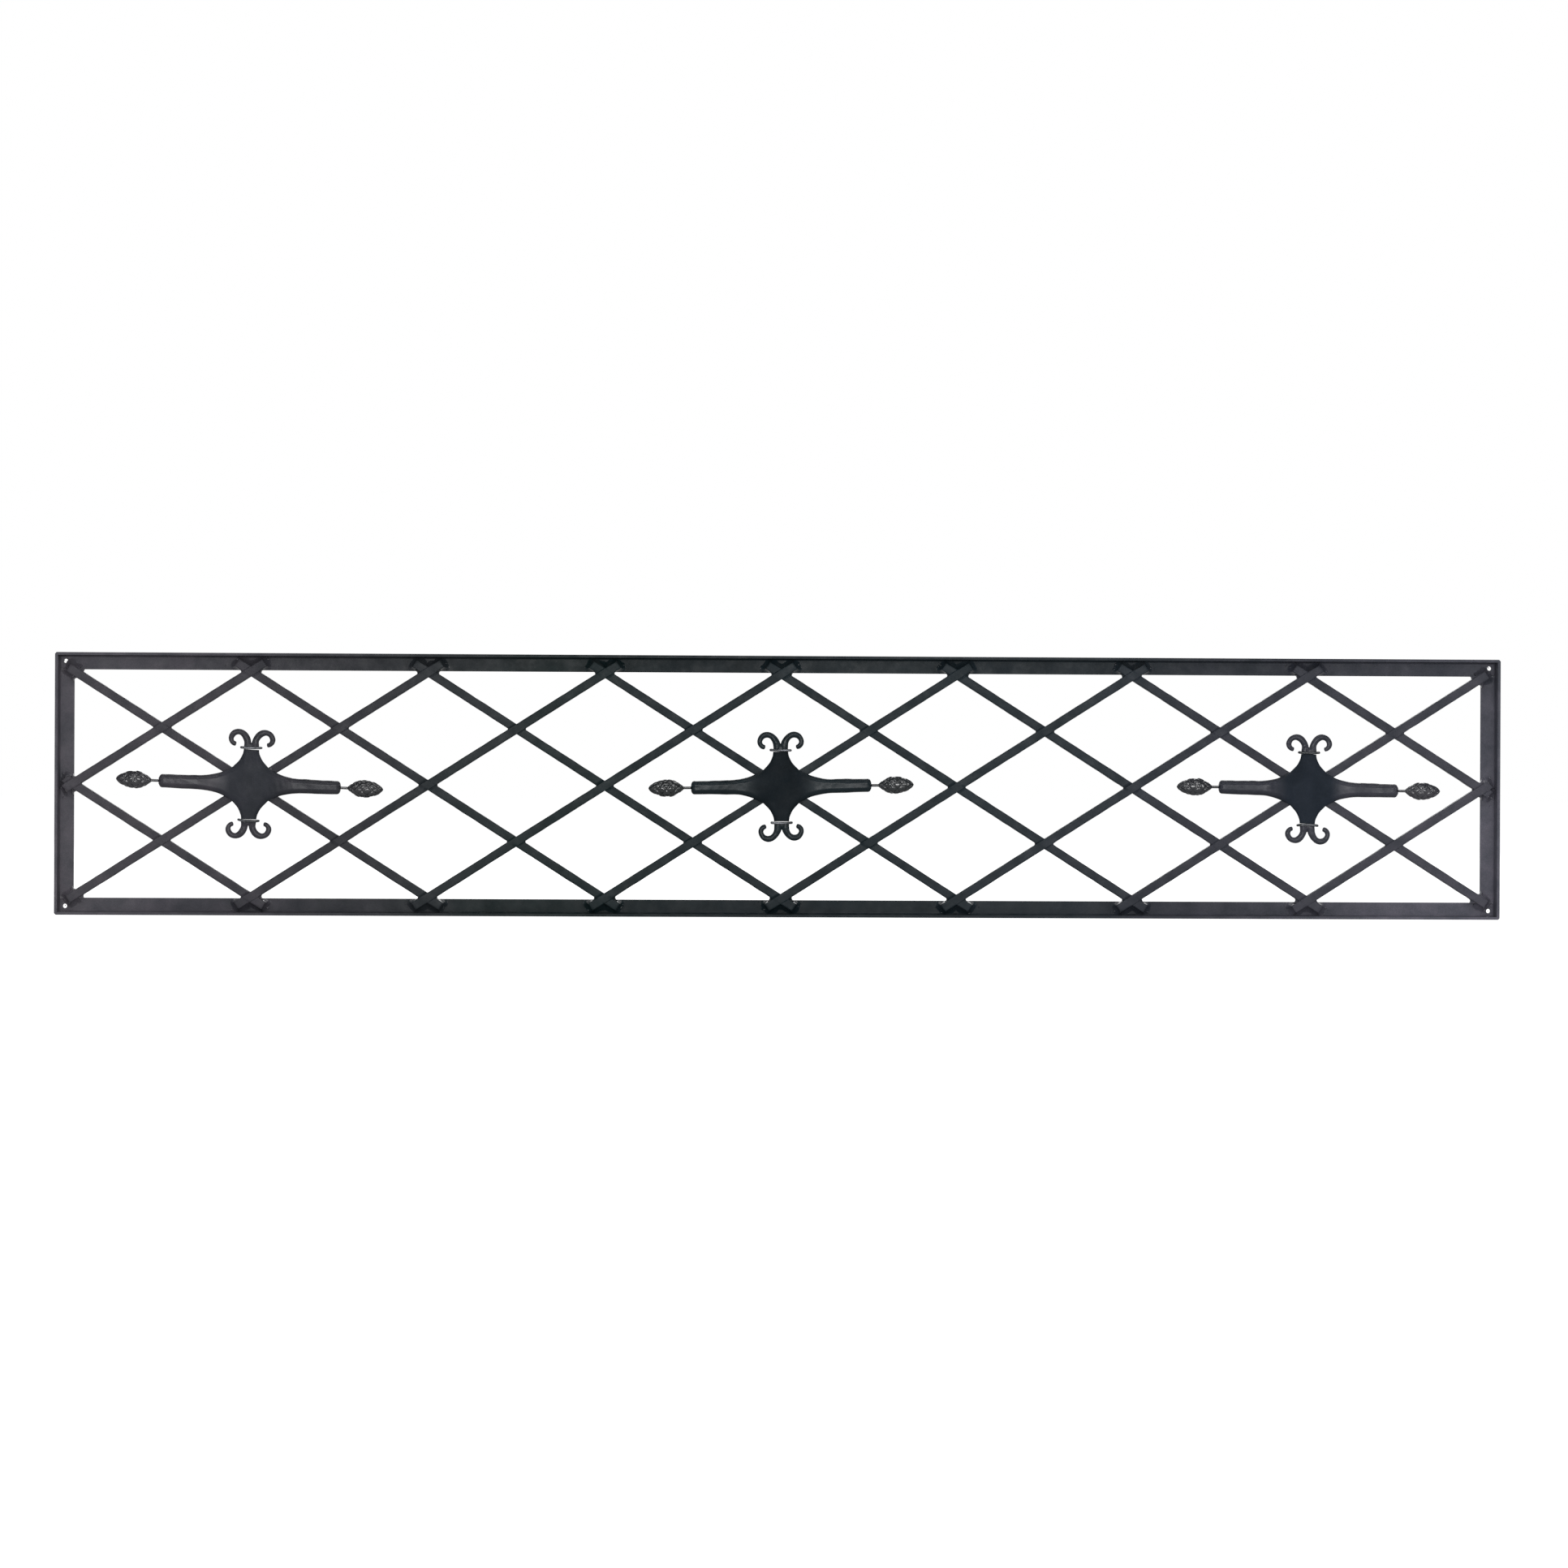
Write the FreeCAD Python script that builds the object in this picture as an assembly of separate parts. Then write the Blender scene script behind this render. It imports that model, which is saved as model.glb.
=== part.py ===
import FreeCAD, Part
import math
import os

# A low forged-iron hearth screen: an angle-iron frame filled with a diagonal bar lattice, which
# carries three star rosettes with ram's-horn scrolls and bud finials. Every piece is one STEP file.
# Millimetres, +Z up, the front faces -Y. The origin is on the floor, at the middle of the footprint.

Vector = FreeCAD.Vector
AXIS_X = Vector(1, 0, 0)
AXIS_Y = Vector(0, 1, 0)
AXIS_Z = Vector(0, 0, 1)
CENTRE = Vector(0, 0, 0)
TOUCH = 0.01

# Frame: equal angle with its flange at the back and its other leg forward, round the edge.
OVERALL_LENGTH = 1651.0
OVERALL_HEIGHT = 298.5
ANGLE_LEG = 19.05
ANGLE_THICKNESS = 3.2
ANGLE_ROOT_RADIUS = 2.0
OUTER_CORNER_CHAMFER = 1.8
SCREW_HOLE_DIAMETER = 5.0

# Lattice: square bars, half-lapped at every crossing and lapped onto the frame's flange.
BAR_SIZE = 9.5
BAY_COUNT = 8
CROSSING_INSET = 1.5
RAIL_LAP = 18.5
STILE_LAP = 11.0
CORNER_LAP = 6.0

# Rosette: a domed four-point star with two long arms, in front of a mid-height crossing.
ROSETTE_BAYS = {"left": 1, "centre": 4, "right": 7}
ROSETTE_TILTS = {"left": 2.0, "centre": -1.0, "right": 1.0}
PLATE_THICKNESS = 5.0
ARM_DEPTH = 9.0
ARM_HALF_WIDTH = 6.75
ARM_FRONT_RADIUS = 4.0
ARM_END_RADIUS = 5.5
ARM_REACH = 103.0
ARM_FLARE_START = 46.5
WAIST_X = 20.0
WAIST_Z = 19.3
NECK_HALF_WIDTH = 8.4
NECK_FLARE_START = 36.0
NECK_REACH = 41.5
DOME_RADIUS = 19.0
DOME_HEIGHT = 4.0

# Collar: one loop of round wire round each neck.
COLLAR_WIRE_RADIUS = 1.3
COLLAR_END_RADIUS = 4.1
COLLAR_HALF_WIDTH = 12.7

# Scrolls: a split and tapered bar whose two horns curl outward.
SCROLL_ROOT_HEIGHT = 3.0
SCROLL_ROOT_HALF_WIDTH = 7.6
HORN_ROOT_RADIUS = 2.7
HORN_TIP_RADIUS = 1.7
HORN_STALK_X = 4.6
HORN_TURN_Z = 50.3
HORN_BIG_RADIUS = 9.6
HORN_SMALL_RADIUS = 7.4
HORN_CHANGE_ANGLE = 60.0
HORN_TIP_ANGLE = -80.0

# Bud finial: a turned bud on a thin stem, beyond the end of each arm.
STEM_RADIUS = 1.35
STEM_LENGTH = 7.0
BUD_LENGTH = 41.5
BUD_RADIUS = 9.75
BUD_FATTEST = 0.45
BUD_TIP_RADIUS = 0.6

# Weld metal
END_BEAD_RADIUS = 3.2
END_BEAD_LENGTH = 8.5
SEAM_BEAD_RADIUS = 1.8
SEAM_BEAD_LENGTH = 5.0
TACK_RADIUS = 3.0
TACK_REACH = 30.0

# Depth planes, from the frame's back face to the front of the buds
OVERALL_DEPTH = ANGLE_THICKNESS + BAR_SIZE + ARM_DEPTH / 2 + BUD_RADIUS
BACK_Y = OVERALL_DEPTH / 2
FLANGE_FRONT_Y = BACK_Y - ANGLE_THICKNESS
LATTICE_FRONT_Y = FLANGE_FRONT_Y - BAR_SIZE
LATTICE_MIDDLE_Y = FLANGE_FRONT_Y - BAR_SIZE / 2

# Lattice layout
HALF_LENGTH = OVERALL_LENGTH / 2
INNER_HALF_LENGTH = HALF_LENGTH - ANGLE_LEG
PITCH = 2 * INNER_HALF_LENGTH / BAY_COUNT
LOW_Z = ANGLE_LEG + CROSSING_INSET
HIGH_Z = OVERALL_HEIGHT - LOW_Z
MIDDLE_Z = OVERALL_HEIGHT / 2
BAR_ANGLE = math.degrees(math.atan2(HIGH_Z - LOW_Z, 2 * PITCH))


def box(x_range, y_range, z_range):
    size = [high - low for low, high in (x_range, y_range, z_range)]
    return Part.makeBox(*size, Vector(x_range[0], y_range[0], z_range[0]))


def mirrored_in_x(shape):
    return shape.mirror(CENTRE, AXIS_X)


def edges_where(shape, chosen):
    return [edge for edge in shape.Edges if chosen(edge)]


def fillet_where(shape, radius, chosen):
    return shape.makeFillet(radius, edges_where(shape, chosen))


def runs_along(edge, axis):
    if len(edge.Vertexes) != 2:
        return False
    run = edge.Vertexes[1].Point - edge.Vertexes[0].Point
    return run.Length - abs(run.dot(axis)) < TOUCH


def write(name, shape):
    if not shape.isValid():
        raise ValueError(name + " is not a valid shape")
    shape.exportStep(os.path.join("parts", name + ".step"))


# Frame ---------------------------------------------------------------------------------------


def bottom_angle(across):
    """Angle stock along X, its flange upright at the back and its other leg forward at the bottom."""
    flange = box(across, (FLANGE_FRONT_Y, BACK_Y), (0, ANGLE_LEG))
    leg = box(across, (BACK_Y - ANGLE_LEG, BACK_Y), (0, ANGLE_THICKNESS))

    def at_root(edge):
        start = edge.Vertexes[0].Point
        return (
            runs_along(edge, AXIS_X)
            and abs(start.y - FLANGE_FRONT_Y) < TOUCH
            and abs(start.z - ANGLE_THICKNESS) < TOUCH
        )

    return fillet_where(flange.fuse(leg).removeSplitter(), ANGLE_ROOT_RADIUS, at_root)


def bottom_rail():
    def at_outer_corner(edge):
        return runs_along(edge, AXIS_Y) and edge.Vertexes[0].Point.z < TOUCH

    rail = bottom_angle((-HALF_LENGTH, HALF_LENGTH))
    rail = rail.makeChamfer(OUTER_CORNER_CHAMFER, edges_where(rail, at_outer_corner))
    for side in (-1, 1):
        foot = Vector(side * (HALF_LENGTH - ANGLE_LEG / 2), BACK_Y - ANGLE_LEG, ANGLE_LEG / 2)
        rail = rail.cut(Part.makeCylinder(SCREW_HOLE_DIAMETER / 2, ANGLE_LEG, foot, AXIS_Y))
    return rail


def mirrored_in_height(shape):
    return shape.mirror(Vector(0, 0, MIDDLE_Z), AXIS_Z)


def top_rail():
    return mirrored_in_height(bottom_rail())


def left_stile():
    """The flange butts between the rails' flanges, and the leg is coped over them to meet the rails' legs."""
    stile = bottom_angle((-OVERALL_HEIGHT, 0))
    stile.rotate(CENTRE, AXIS_Y, 90)
    stile.translate(Vector(-HALF_LENGTH, 0, 0))
    across = (-HALF_LENGTH, -INNER_HALF_LENGTH)
    under_flange = box(across, (FLANGE_FRONT_Y, BACK_Y), (0, ANGLE_LEG))
    under_leg = box(across, (BACK_Y - ANGLE_LEG, BACK_Y), (0, ANGLE_THICKNESS))
    low_cope = [under_flange, under_leg, bottom_rail()]
    return stile.cut(low_cope + [mirrored_in_height(one) for one in low_cope])


# Lattice -------------------------------------------------------------------------------------


def crossing_x(bay):
    return -INNER_HALF_LENGTH + bay * PITCH


def rising_run(number):
    """A rising bar's start and end crossings and its laps past them. Bars count from 1 at the left."""
    first_bay = number - 2
    start = Vector(crossing_x(first_bay), 0, LOW_Z)
    end = Vector(crossing_x(first_bay + 2), 0, HIGH_Z)
    start_lap = CORNER_LAP if first_bay == 0 else RAIL_LAP
    end_lap = CORNER_LAP if first_bay + 2 == BAY_COUNT else RAIL_LAP
    if first_bay < 0:
        start = Vector(crossing_x(0), 0, MIDDLE_Z)
        start_lap = STILE_LAP
    if first_bay + 2 > BAY_COUNT:
        end = Vector(crossing_x(BAY_COUNT), 0, MIDDLE_Z)
        end_lap = STILE_LAP
    return start, end, start_lap, end_lap


def onto_rising_line(shape, start):
    shape.rotate(CENTRE, AXIS_Y, -BAR_ANGLE)
    shape.translate(start)
    return shape


def rising_stock(number, y_range):
    """A rising bar's full outline between two depths, before its laps are cut."""
    start, end, start_lap, end_lap = rising_run(number)
    length = (end - start).Length
    half = BAR_SIZE / 2
    return onto_rising_line(box((-start_lap, length + end_lap), y_range, (-half, half)), start)


def lattice_bars():
    """Rising bars are whole at the front of each crossing, and falling bars at the back."""
    whole = (LATTICE_FRONT_Y, FLANGE_FRONT_Y)
    front_half = (LATTICE_FRONT_Y, LATTICE_MIDDLE_Y)
    back_half = (LATTICE_MIDDLE_Y, FLANGE_FRONT_Y)
    numbers = range(1, BAY_COUNT + 2)
    rising_fronts = [rising_stock(number, front_half) for number in numbers]
    falling_backs = [mirrored_in_x(rising_stock(number, back_half)) for number in numbers]
    bars = {}
    for number in numbers:
        bars["rising_bar_%d" % number] = rising_stock(number, whole).cut(falling_backs)
        # A mirrored bar counts from the right, so its own number from the left is reversed.
        from_left = BAY_COUNT + 2 - number
        bars["falling_bar_%d" % from_left] = mirrored_in_x(rising_stock(number, whole)).cut(rising_fronts)
    return bars


def end_bead():
    """A fillet weld at the origin, beyond a bar that ends there while running towards +X."""
    foot = Vector(0, FLANGE_FRONT_Y, -END_BEAD_LENGTH / 2)
    bead = Part.makeCylinder(END_BEAD_RADIUS, END_BEAD_LENGTH, foot, AXIS_Z, 90)
    bead.rotate(foot, AXIS_Z, -90)
    return bead


def lattice_end_welds():
    beads = []
    for number in range(1, BAY_COUNT + 2):
        start, end, start_lap, end_lap = rising_run(number)
        length = (end - start).Length
        far = end_bead()
        far.translate(Vector(length + end_lap, 0, 0))
        near = mirrored_in_x(end_bead())
        near.translate(Vector(-start_lap, 0, 0))
        for bead in (far, near):
            placed = onto_rising_line(bead, start)
            beads += [placed, mirrored_in_x(placed)]
    return Part.makeCompound(beads)


def frame_corner_welds():
    """A bead across each seam between a stile's flange and a rail's, in the outer part of the corner."""
    across = (HALF_LENGTH - ANGLE_THICKNESS - SEAM_BEAD_LENGTH, HALF_LENGTH - ANGLE_THICKNESS)
    foot = Vector(across[0], FLANGE_FRONT_Y, ANGLE_LEG)
    bead = Part.makeCylinder(SEAM_BEAD_RADIUS, SEAM_BEAD_LENGTH, foot, AXIS_X)
    bead = bead.common(box(across, (LATTICE_FRONT_Y, FLANGE_FRONT_Y), (0, 2 * ANGLE_LEG)))
    bead = bead.cut(mirrored_in_x(left_stile()))
    low = [bead, mirrored_in_x(bead)]
    high = [mirrored_in_height(one) for one in low]
    return Part.makeCompound(low + high)


# Rosette: built round the origin, with its back on the plane Y = 0 --------------------------------


def star_outline():
    """Four concave arcs, joined across the ends of the arms' flares and of the necks."""
    arm = (ARM_FLARE_START, ARM_HALF_WIDTH)
    waist = (WAIST_X, WAIST_Z)
    neck = (NECK_HALF_WIDTH, NECK_FLARE_START)
    neck_end = (NECK_HALF_WIDTH, NECK_REACH)

    def corner(point, x_sign, z_sign):
        return Vector(x_sign * point[0], 0, z_sign * point[1])

    edges = []
    for x_sign, z_sign in ((1, 1), (-1, 1), (-1, -1), (1, -1)):
        ends = [corner(point, x_sign, z_sign) for point in (arm, waist, neck)]
        edges.append(Part.Arc(*ends).toShape())
        edges.append(Part.makeLine(ends[2], corner(neck_end, x_sign, z_sign)))
    for sign in (1, -1):
        edges.append(Part.makeLine(corner(neck_end, 1, sign), corner(neck_end, -1, sign)))
        edges.append(Part.makeLine(corner(arm, sign, 1), corner(arm, sign, -1)))
    return Part.Wire(Part.__sortEdges__(edges))


def arm():
    """A half-round bar from the star's middle to the right, with a rounded end."""
    bar = box((0, ARM_REACH), (-ARM_DEPTH, 0), (-ARM_HALF_WIDTH, ARM_HALF_WIDTH))

    def at_end(edge):
        return runs_along(edge, AXIS_Y) and edge.Vertexes[0].Point.x > ARM_REACH - TOUCH

    bar = fillet_where(bar, ARM_END_RADIUS, at_end)

    def round_the_front(edge):
        points = [vertex.Point for vertex in edge.Vertexes]
        in_front = all(point.y < -ARM_DEPTH + TOUCH for point in points)
        at_middle = all(point.x < TOUCH for point in points)
        return in_front and not at_middle

    return fillet_where(bar, ARM_FRONT_RADIUS, round_the_front)


def dome():
    sphere_radius = (DOME_RADIUS**2 + DOME_HEIGHT**2) / (2 * DOME_HEIGHT)
    ball = Part.makeSphere(sphere_radius, Vector(0, -PLATE_THICKNESS - DOME_HEIGHT + sphere_radius, 0))
    reach = (-DOME_RADIUS, DOME_RADIUS)
    return ball.common(box(reach, (-PLATE_THICKNESS - DOME_HEIGHT, 0), reach))


def star_plate():
    plate = Part.Face(star_outline()).extrude(Vector(0, -PLATE_THICKNESS, 0))
    return plate.fuse([arm(), mirrored_in_x(arm()), dome()]).removeSplitter()


def collar():
    """A loop of round wire with straight front and back and half-round ends."""
    straight = COLLAR_HALF_WIDTH - COLLAR_WIRE_RADIUS - COLLAR_END_RADIUS
    front = Vector(straight, -COLLAR_END_RADIUS, 0)
    back = Vector(straight, COLLAR_END_RADIUS, 0)
    tip = Vector(straight + COLLAR_END_RADIUS, 0, 0)

    def flipped(point):
        return Vector(-point.x, point.y, 0)

    path = Part.Wire(
        [
            Part.makeLine(flipped(front), front),
            Part.Arc(front, tip, back).toShape(),
            Part.makeLine(back, flipped(back)),
            Part.Arc(flipped(back), flipped(tip), flipped(front)).toShape(),
        ]
    )
    ring = Part.Wire(Part.makeCircle(COLLAR_WIRE_RADIUS, Vector(0, -COLLAR_END_RADIUS, 0), AXIS_X))
    loop = path.makePipeShell([ring], True, True)
    loop.translate(Vector(0, -PLATE_THICKNESS / 2, NECK_REACH))
    return loop


def polar(centre, radius, angle):
    turn = math.radians(angle)
    return centre + Vector(radius * math.cos(turn), 0, radius * math.sin(turn))


def horn():
    """A tapering round bar: straight up from the neck, then over and down through two tangent arcs."""
    foot = Vector(HORN_STALK_X, 0, NECK_REACH)
    turn = Vector(HORN_STALK_X, 0, HORN_TURN_Z)
    big_centre = turn + Vector(HORN_BIG_RADIUS, 0, 0)
    small_centre = polar(big_centre, HORN_BIG_RADIUS - HORN_SMALL_RADIUS, HORN_CHANGE_ANGLE)
    change = polar(big_centre, HORN_BIG_RADIUS, HORN_CHANGE_ANGLE)
    tip = polar(small_centre, HORN_SMALL_RADIUS, HORN_TIP_ANGLE)
    big_middle = polar(big_centre, HORN_BIG_RADIUS, (180 + HORN_CHANGE_ANGLE) / 2)
    small_middle = polar(small_centre, HORN_SMALL_RADIUS, (HORN_CHANGE_ANGLE + HORN_TIP_ANGLE) / 2)
    path = Part.Wire(
        [
            Part.makeLine(foot, turn),
            Part.Arc(turn, big_middle, change).toShape(),
            Part.Arc(change, small_middle, tip).toShape(),
        ]
    )
    tip_direction = polar(CENTRE, 1, HORN_TIP_ANGLE - 90)
    root = Part.Wire(Part.makeCircle(HORN_ROOT_RADIUS, foot, AXIS_Z))
    end = Part.Wire(Part.makeCircle(HORN_TIP_RADIUS, tip, tip_direction))
    return path.makePipeShell([root, end], True, True).fuse(Part.makeSphere(HORN_TIP_RADIUS, tip))


def scroll_pair():
    root = box(
        (-SCROLL_ROOT_HALF_WIDTH, SCROLL_ROOT_HALF_WIDTH),
        (-PLATE_THICKNESS / 2, PLATE_THICKNESS / 2),
        (NECK_REACH, NECK_REACH + SCROLL_ROOT_HEIGHT),
    )
    pair = root.fuse([horn(), mirrored_in_x(horn())]).removeSplitter()
    pair.translate(Vector(0, -PLATE_THICKNESS / 2, 0))
    return pair


def crown_arc(foot, crown):
    """An arc in the XZ plane from a foot up to a crown, where it runs level along X."""
    run = foot.x - crown.x
    rise = crown.z - foot.z
    radius = (run**2 + rise**2) / (2 * rise)
    lean = math.asin(run / radius) / 2
    middle = crown + Vector(radius * math.sin(lean), 0, radius * (math.cos(lean) - 1))
    return Part.Arc(foot, middle, crown).toShape()


def bud():
    """The right-hand bud with its stem, turned about the arm's axis."""
    stem_end = ARM_REACH + STEM_LENGTH
    tip_x = stem_end + BUD_LENGTH
    stem_foot = Vector(ARM_REACH, 0, 0)
    stem_edge = Vector(ARM_REACH, 0, STEM_RADIUS)
    bud_foot = Vector(stem_end, 0, STEM_RADIUS)
    crown = Vector(stem_end + BUD_FATTEST * BUD_LENGTH, 0, BUD_RADIUS)
    tip_edge = Vector(tip_x, 0, BUD_TIP_RADIUS)
    tip = Vector(tip_x, 0, 0)
    profile = Part.Wire(
        [
            Part.makeLine(stem_foot, stem_edge),
            Part.makeLine(stem_edge, bud_foot),
            crown_arc(bud_foot, crown),
            crown_arc(tip_edge, crown),
            Part.makeLine(tip_edge, tip),
            Part.makeLine(tip, stem_foot),
        ]
    )
    turned = Part.Face(profile).revolve(CENTRE, AXIS_X, 360)
    turned.translate(Vector(0, -ARM_DEPTH / 2, 0))
    return turned


def rosette_welds():
    """Tacks on the lattice bars, against the four concave sides of each star."""
    tacks = []
    reach = TACK_REACH + TACK_RADIUS
    for side in ROSETTE_BAYS:
        star = placed_rosette_shape(star_plate(), side)
        for angle in (BAR_ANGLE, 180 - BAR_ANGLE, 180 + BAR_ANGLE, -BAR_ANGLE):
            ball = Part.makeSphere(TACK_RADIUS, polar(CENTRE, TACK_REACH, angle))
            ball = ball.common(box((-reach, reach), (-TACK_RADIUS, 0), (-reach, reach)))
            ball.translate(rosette_place(side))
            tacks.append(ball.cut(star))
    return Part.makeCompound(tacks)


def rosette(side):
    upside_down = (CENTRE, AXIS_Z)
    pieces = {
        "star_plate": star_plate(),
        "upper_collar": collar(),
        "lower_collar": collar().mirror(*upside_down),
        "upper_scrolls": scroll_pair(),
        "lower_scrolls": scroll_pair().mirror(*upside_down),
        "left_bud": mirrored_in_x(bud()),
        "right_bud": bud(),
    }
    return {side + "_" + name: placed_rosette_shape(shape, side) for name, shape in pieces.items()}


def rosette_place(side):
    return Vector(crossing_x(ROSETTE_BAYS[side]), LATTICE_FRONT_Y, MIDDLE_Z)


def placed_rosette_shape(shape, side):
    shape.rotate(CENTRE, AXIS_Y, ROSETTE_TILTS[side])
    shape.translate(rosette_place(side))
    return shape


def main():
    os.makedirs("parts", exist_ok=True)
    pieces = {
        "top_rail": top_rail(),
        "bottom_rail": bottom_rail(),
        "left_stile": left_stile(),
        "right_stile": mirrored_in_x(left_stile()),
        "lattice_end_welds": lattice_end_welds(),
        "frame_corner_welds": frame_corner_welds(),
        "rosette_welds": rosette_welds(),
    }
    pieces.update(lattice_bars())
    for side in ROSETTE_BAYS:
        pieces.update(rosette(side))
    for name, shape in pieces.items():
        write(name, shape)


main()
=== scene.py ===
import math

import bmesh
import bpy
import numpy as np
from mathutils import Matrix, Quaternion, Vector


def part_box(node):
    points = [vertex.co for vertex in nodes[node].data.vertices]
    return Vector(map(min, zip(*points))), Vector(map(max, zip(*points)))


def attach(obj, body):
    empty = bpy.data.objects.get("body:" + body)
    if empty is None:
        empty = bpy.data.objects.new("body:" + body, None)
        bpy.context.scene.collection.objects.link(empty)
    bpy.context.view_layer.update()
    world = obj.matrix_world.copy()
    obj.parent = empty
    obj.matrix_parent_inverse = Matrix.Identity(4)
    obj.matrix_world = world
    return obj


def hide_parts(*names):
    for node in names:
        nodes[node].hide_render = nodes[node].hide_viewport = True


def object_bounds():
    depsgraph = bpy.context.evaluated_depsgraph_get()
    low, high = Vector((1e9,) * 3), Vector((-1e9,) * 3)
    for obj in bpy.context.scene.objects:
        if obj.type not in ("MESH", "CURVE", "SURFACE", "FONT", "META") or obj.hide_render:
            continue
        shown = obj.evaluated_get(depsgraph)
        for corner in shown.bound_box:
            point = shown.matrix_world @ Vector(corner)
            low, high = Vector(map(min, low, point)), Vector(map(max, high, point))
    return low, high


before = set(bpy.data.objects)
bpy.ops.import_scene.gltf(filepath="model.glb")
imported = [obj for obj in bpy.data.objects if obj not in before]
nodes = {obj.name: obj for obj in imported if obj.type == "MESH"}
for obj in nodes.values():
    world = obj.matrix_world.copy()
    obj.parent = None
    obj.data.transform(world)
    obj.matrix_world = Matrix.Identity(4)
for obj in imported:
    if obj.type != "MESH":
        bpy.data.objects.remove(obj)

# A low forged-iron hearth screen. The rails and stiles are the CAD nodes with softened edges. Every bar,
# star, collar, scroll, bud and weld is a hand-worked mesh that stands for its CAD node. Lengths are in
# metres, apart from the rosettes' own shapes, which are in millimetres until they are put in place.

cad_low, cad_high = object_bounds()

MM = 0.001
AXIS_Y = np.array([0.0, 1.0, 0.0])
SIDES = ("left", "centre", "right")
SEEDS = {side: 100 * (index + 1) for index, side in enumerate(SIDES)}
WAVE_COUNT = 18

# Studio: how bright the floor looks, how much of that reaches the iron, and the light from all round
FLOOR_GLOW_SEEN = 0.96
FLOOR_GLOW_FELT = 0.30
WORLD_GLOW = 0.20
FLOOR_REACH = 30.0
# Name, place, target, size and power
SOFTBOXES = [
    ("front", (0.0, -4.6, 0.55), (0, 0, 0.15), (3.6, 1.0), 120),
    ("strip_above", (0.0, -1.8, 2.4), (0, 0, 0.15), (4.0, 0.3), 26),
    ("strip_left", (-2.6, -1.7, 0.9), (-0.2, 0, 0.15), (0.2, 1.4), 9),
    ("strip_right", (2.7, -1.9, 0.7), (0.2, 0, 0.15), (0.2, 1.4), 14),
    ("top", (0.0, 0.9, 2.6), (0, 0, 0.15), (3.2, 1.0), 22),
    ("back", (0.6, 3.6, 1.8), (0, 0, 0.15), (4.0, 2.0), 60),
]

# Camera, at the photograph's angle. Its distance is assumed.
CAMERA_DISTANCE = 4.0
CAMERA_AZIMUTH = -1.5
CAMERA_ROLL = 0.26
CAMERA_LENS = 80.33
AIM_RIGHT = 0.0033
AIM_UP = 0.003

# Frame and lattice bars
ANGLE_LEG = 19.05 * MM
BAR_HALF = 4.75 * MM
PAINT_BUILD = 0.15 * MM
BAR_CORNER_RADIUS = 1.0 * MM
BAR_RING_SPACING = 3.0 * MM
BAR_END_ROUNDING = 0.8 * MM
NOTCH_CLEARANCE = 0.10 * MM
NOTCH_WALL = 0.05 * MM
NOTCH_FLATNESS = 0.03
SKEW_RUN = 14.0 * MM
WEB_BITE = 0.5 * MM
WELD_ROOT = 1.5 * MM
FILLET_POWER = 1.5
FILLET_BITE = 0.8 * MM
FILLET_INSET = 1.2 * MM
FILLET_LEAST_WIDTH = 0.4 * MM
LONGEST_PASS = 40 * MM
SPATTER_INSETS = (4.5 * MM, 18 * MM)
EDGE_WEB_DEPTH = 10 * MM
EDGE_WEB_INSET = 0.3 * MM
FRAME_BEVEL = 0.6 * MM
# A bar rises by the panel's height less about this inset, over about this run of two bays.
BAR_RISE_INSET = 41 * MM
BAR_RUN = 403 * MM

# Welds: middle sizes and ranges of radii in millimetres, before they are scaled
FILLET_WIDTH = 5.6
FILLET_HEIGHT = 7.5
CROSSING_WEB_RADII = (1.2, 2.5)
WIDE_WEB_RADII = (2.9, 4.0)
NARROW_WEB_RADII = (1.7, 2.7)

# Seeds of the random draws
BAR_SEED = 1000
FILLET_SEED = 900
TACK_SEED = 700
SEAM_SEED = 500
DRAW_SEEDS = {"bar_end": 7, "edge_web": 17, "seam": 11, "tack": 13}

# Rosettes, in millimetres from the middle of the star on the plane of its back
ARM_REACH = 103.0
CORE_REACH = 60
ARM_END_ROUNDING = 4.5
ARM_END_SQUARENESS = 2.6
NECK_REACH = 41.5
STAR_OUTLINE = [
    (8.6, 41.5), (8.65, 38.5), (9.3, 34.8), (12.8, 27.5), (18.4, 21.2), (22.1, 18.0),
    (33.4, 12.4), (43.6, 9.7), (52.0, 8.5), (62.0, 8.1), (80.0, 7.9), (103.0, 7.6),
]
OUTLINE_POINTS = 400
STAR_DEPTH = 5.4
STAR_DOME = 0.9
STAR_DOME_REACH = 26
ARM_EXTRA_DEPTH = 3.6
STAR_DEPTH_LIMIT = 9.0
STAR_EDGE_ROUNDING = 8.0
STAR_EDGE_WALL = 1.8
# How far each star's middle takes on the deep tint: painted shade that darkens and blues each star's flat
# middle against its arms
STAR_PAINTED_SHADE = {"left": 0.62, "centre": 1.0, "right": 1.1}
HORN_LINE = [
    (4.2, 42.5), (4.3, 46.5), (5.0, 50.6), (7.6, 55.2), (11.2, 58.2), (15.5, 59.1),
    (20.0, 57.4), (22.8, 53.2), (22.8, 49.3), (20.4, 46.2), (17.0, 45.2),
]
HORN_ROOT_RADIUS = 4.5
HORN_TIP_RADIUS = 2.6
HORN_FLATTENING = 0.74
SCROLL_AXIS_DEPTH = 2.6
SCROLL_VOXEL = 0.5
COLLAR_REACH = 11.3
COLLAR_HALF_DEPTH = 4.0
COLLAR_AXIS_DEPTH = 2.5
COLLAR_WIRE_RADIUS = 1.45
BUD_RADIUS = 9.75
BUD_LENGTH = 41.5
BUD_FATTEST = 0.45
BUD_BROADER = 1.07
BUD_AXIS_DEPTH = 4.5
BUD_SPIRALS = (5, 4)
BUD_ROWS = 3.7
BUD_RELIEF = 1.6
STEM_LENGTH = 7.0
STEM_RADIUS = 1.45


# Helpers --------------------------------------------------


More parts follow.
